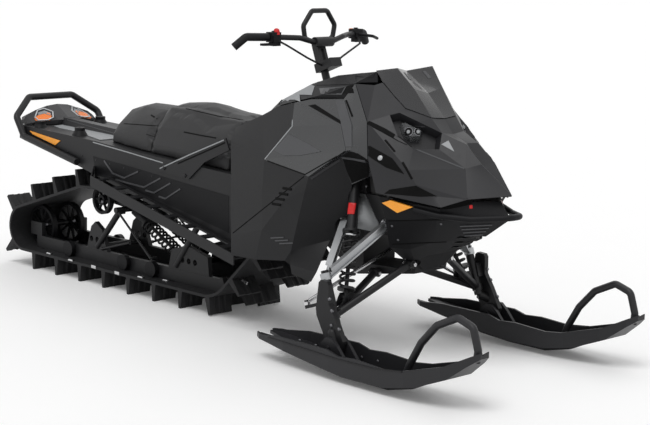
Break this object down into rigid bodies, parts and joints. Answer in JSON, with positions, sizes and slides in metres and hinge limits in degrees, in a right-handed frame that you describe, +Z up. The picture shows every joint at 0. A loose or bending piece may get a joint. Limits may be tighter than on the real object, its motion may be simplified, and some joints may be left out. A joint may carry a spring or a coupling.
{
  "type": "snowmobile",
  "caption": "Mountain snowmobile with a long deep-lug track, slide-rail skid frame, steered skis on double arms, tall handlebar, saddle seat and faceted dark bodywork.",
  "frame": {"origin": "on the floor under the middle of the machine's box", "axes": "+X forward to the ski tips, +Y to the rider's left, +Z up"},
  "size_m": [3.267, 1.086, 1.3131],
  "materials": {
    "rubber": "moulded track rubber",
    "painted_black": "satin black coat",
    "panel_dark": "matt moulded black",
    "seat_vinyl": "grained vinyl",
    "panel_black": "satin moulded, near black",
    "clear_tint": "smoked clear plastic",
    "cast_iron": "engine mass",
    "cast_silver": "satin forged",
    "lamp_red": "tail lamp lens",
    "light_grey": "light grey panel",
    "amber": "amber reflector",
    "steel": "bright rod",
    "grip_rubber": "soft grip",
    "lamp_clear": "clear lens"
  },
  "bodies": {
    "chassis": {"track": "rubber", "tunnel": "painted_black", "idler_wheels": "panel_dark", "slide_rails": "painted_black", "rear_axle": "painted_black", "drive_axle": "painted_black", "running_boards": "painted_black", "seat_rear": "seat_vinyl", "seat_saddle": "seat_vinyl", "rear_hoop": "painted_black", "tail_housing": "panel_black", "side_panel_right": "panel_black", "side_panel_left": "panel_black", "upper_panel_right": "panel_black", "upper_panel_left": "panel_black", "console": "panel_dark", "hood": "panel_black", "windshield": "clear_tint", "nose_bumper": "panel_dark", "belly_pan": "panel_dark", "bulkhead": "painted_black", "engine_block": "cast_iron", "upper_arms": "cast_silver", "lower_arms": "painted_black", "skid_arms": "painted_black", "skid_shocks": "painted_black", "skid_springs": "painted_black", "tail_lamps": "lamp_red", "deck_panels": "light_grey", "cargo_anchors": "panel_dark", "side_reflectors": "amber", "foot_braces": "painted_black", "bulkhead_plates": "cast_silver", "arm_bolts": "steel", "front_shocks": "painted_black", "front_springs": "painted_black", "headlights": "lamp_clear", "over_frame": "painted_black"},
    "handlebar_set": {"handlebar": "painted_black", "steering_post": "painted_black", "bar_riser": "painted_black", "grips": "grip_rubber", "bar_controls": "panel_dark", "control_cables": "grip_rubber"},
    "pitman": {"pitman_arm": "painted_black"},
    "upright_right": {"spindle_right": "painted_black"},
    "link_right": {"tie_rod_right": "steel"},
    "runner_right": {"ski_right": "panel_dark"},
    "upright_left": {"spindle_left": "painted_black"},
    "link_left": {"tie_rod_left": "steel"},
    "runner_left": {"ski_left": "panel_dark"}
  },
  "joints": [
    {"name": "handlebar_steer", "type": "hinge", "parent": "chassis", "child": "handlebar_set", "pos_m": [0.55064, 0, 0.5964], "axis": [-0.3663, 0, 0.9305], "range_deg": [-28, 28]},
    {"name": "pitman_turn", "type": "hinge", "parent": "chassis", "child": "pitman", "pos_m": [0.90454, 0, 0.464], "axis": [-0.3363, 0, 0.9417], "range_deg": [-28, 28]},
    {"name": "spindle_right_steer", "type": "hinge", "parent": "chassis", "child": "upright_right", "pos_m": [0.86354, -0.41, 0.205], "axis": [-0.3363, 0, 0.9417], "range_deg": [-28, 28]},
    {"name": "tie_rod_right_swing", "type": "hinge", "parent": "upright_right", "child": "link_right", "pos_m": [0.74345, -0.432, 0.2142], "axis": [-0.3363, 0, 0.9417], "range_deg": [-28, 28]},
    {"name": "ski_right_pitch", "type": "hinge", "parent": "upright_right", "child": "runner_right", "pos_m": [0.91854, -0.457, 0.105], "axis": [0, 1, 0], "range_deg": [-15, 9]},
    {"name": "spindle_left_steer", "type": "hinge", "parent": "chassis", "child": "upright_left", "pos_m": [0.86354, 0.41, 0.205], "axis": [-0.3363, 0, 0.9417], "range_deg": [-28, 28]},
    {"name": "tie_rod_left_swing", "type": "hinge", "parent": "upright_left", "child": "link_left", "pos_m": [0.74345, 0.432, 0.2142], "axis": [-0.3363, 0, 0.9417], "range_deg": [-28, 28]},
    {"name": "ski_left_pitch", "type": "hinge", "parent": "upright_left", "child": "runner_left", "pos_m": [0.91854, 0.457, 0.105], "axis": [0, 1, 0], "range_deg": [-15, 9]}
  ],
  "couplings": [
    {"joint": "pitman_turn", "follows": "handlebar_steer", "ratio": 1},
    {"joint": "spindle_right_steer", "follows": "handlebar_steer", "ratio": 1},
    {"joint": "tie_rod_right_swing", "follows": "handlebar_steer", "ratio": -1},
    {"joint": "spindle_left_steer", "follows": "handlebar_steer", "ratio": 1},
    {"joint": "tie_rod_left_swing", "follows": "handlebar_steer", "ratio": -1}
  ]
}
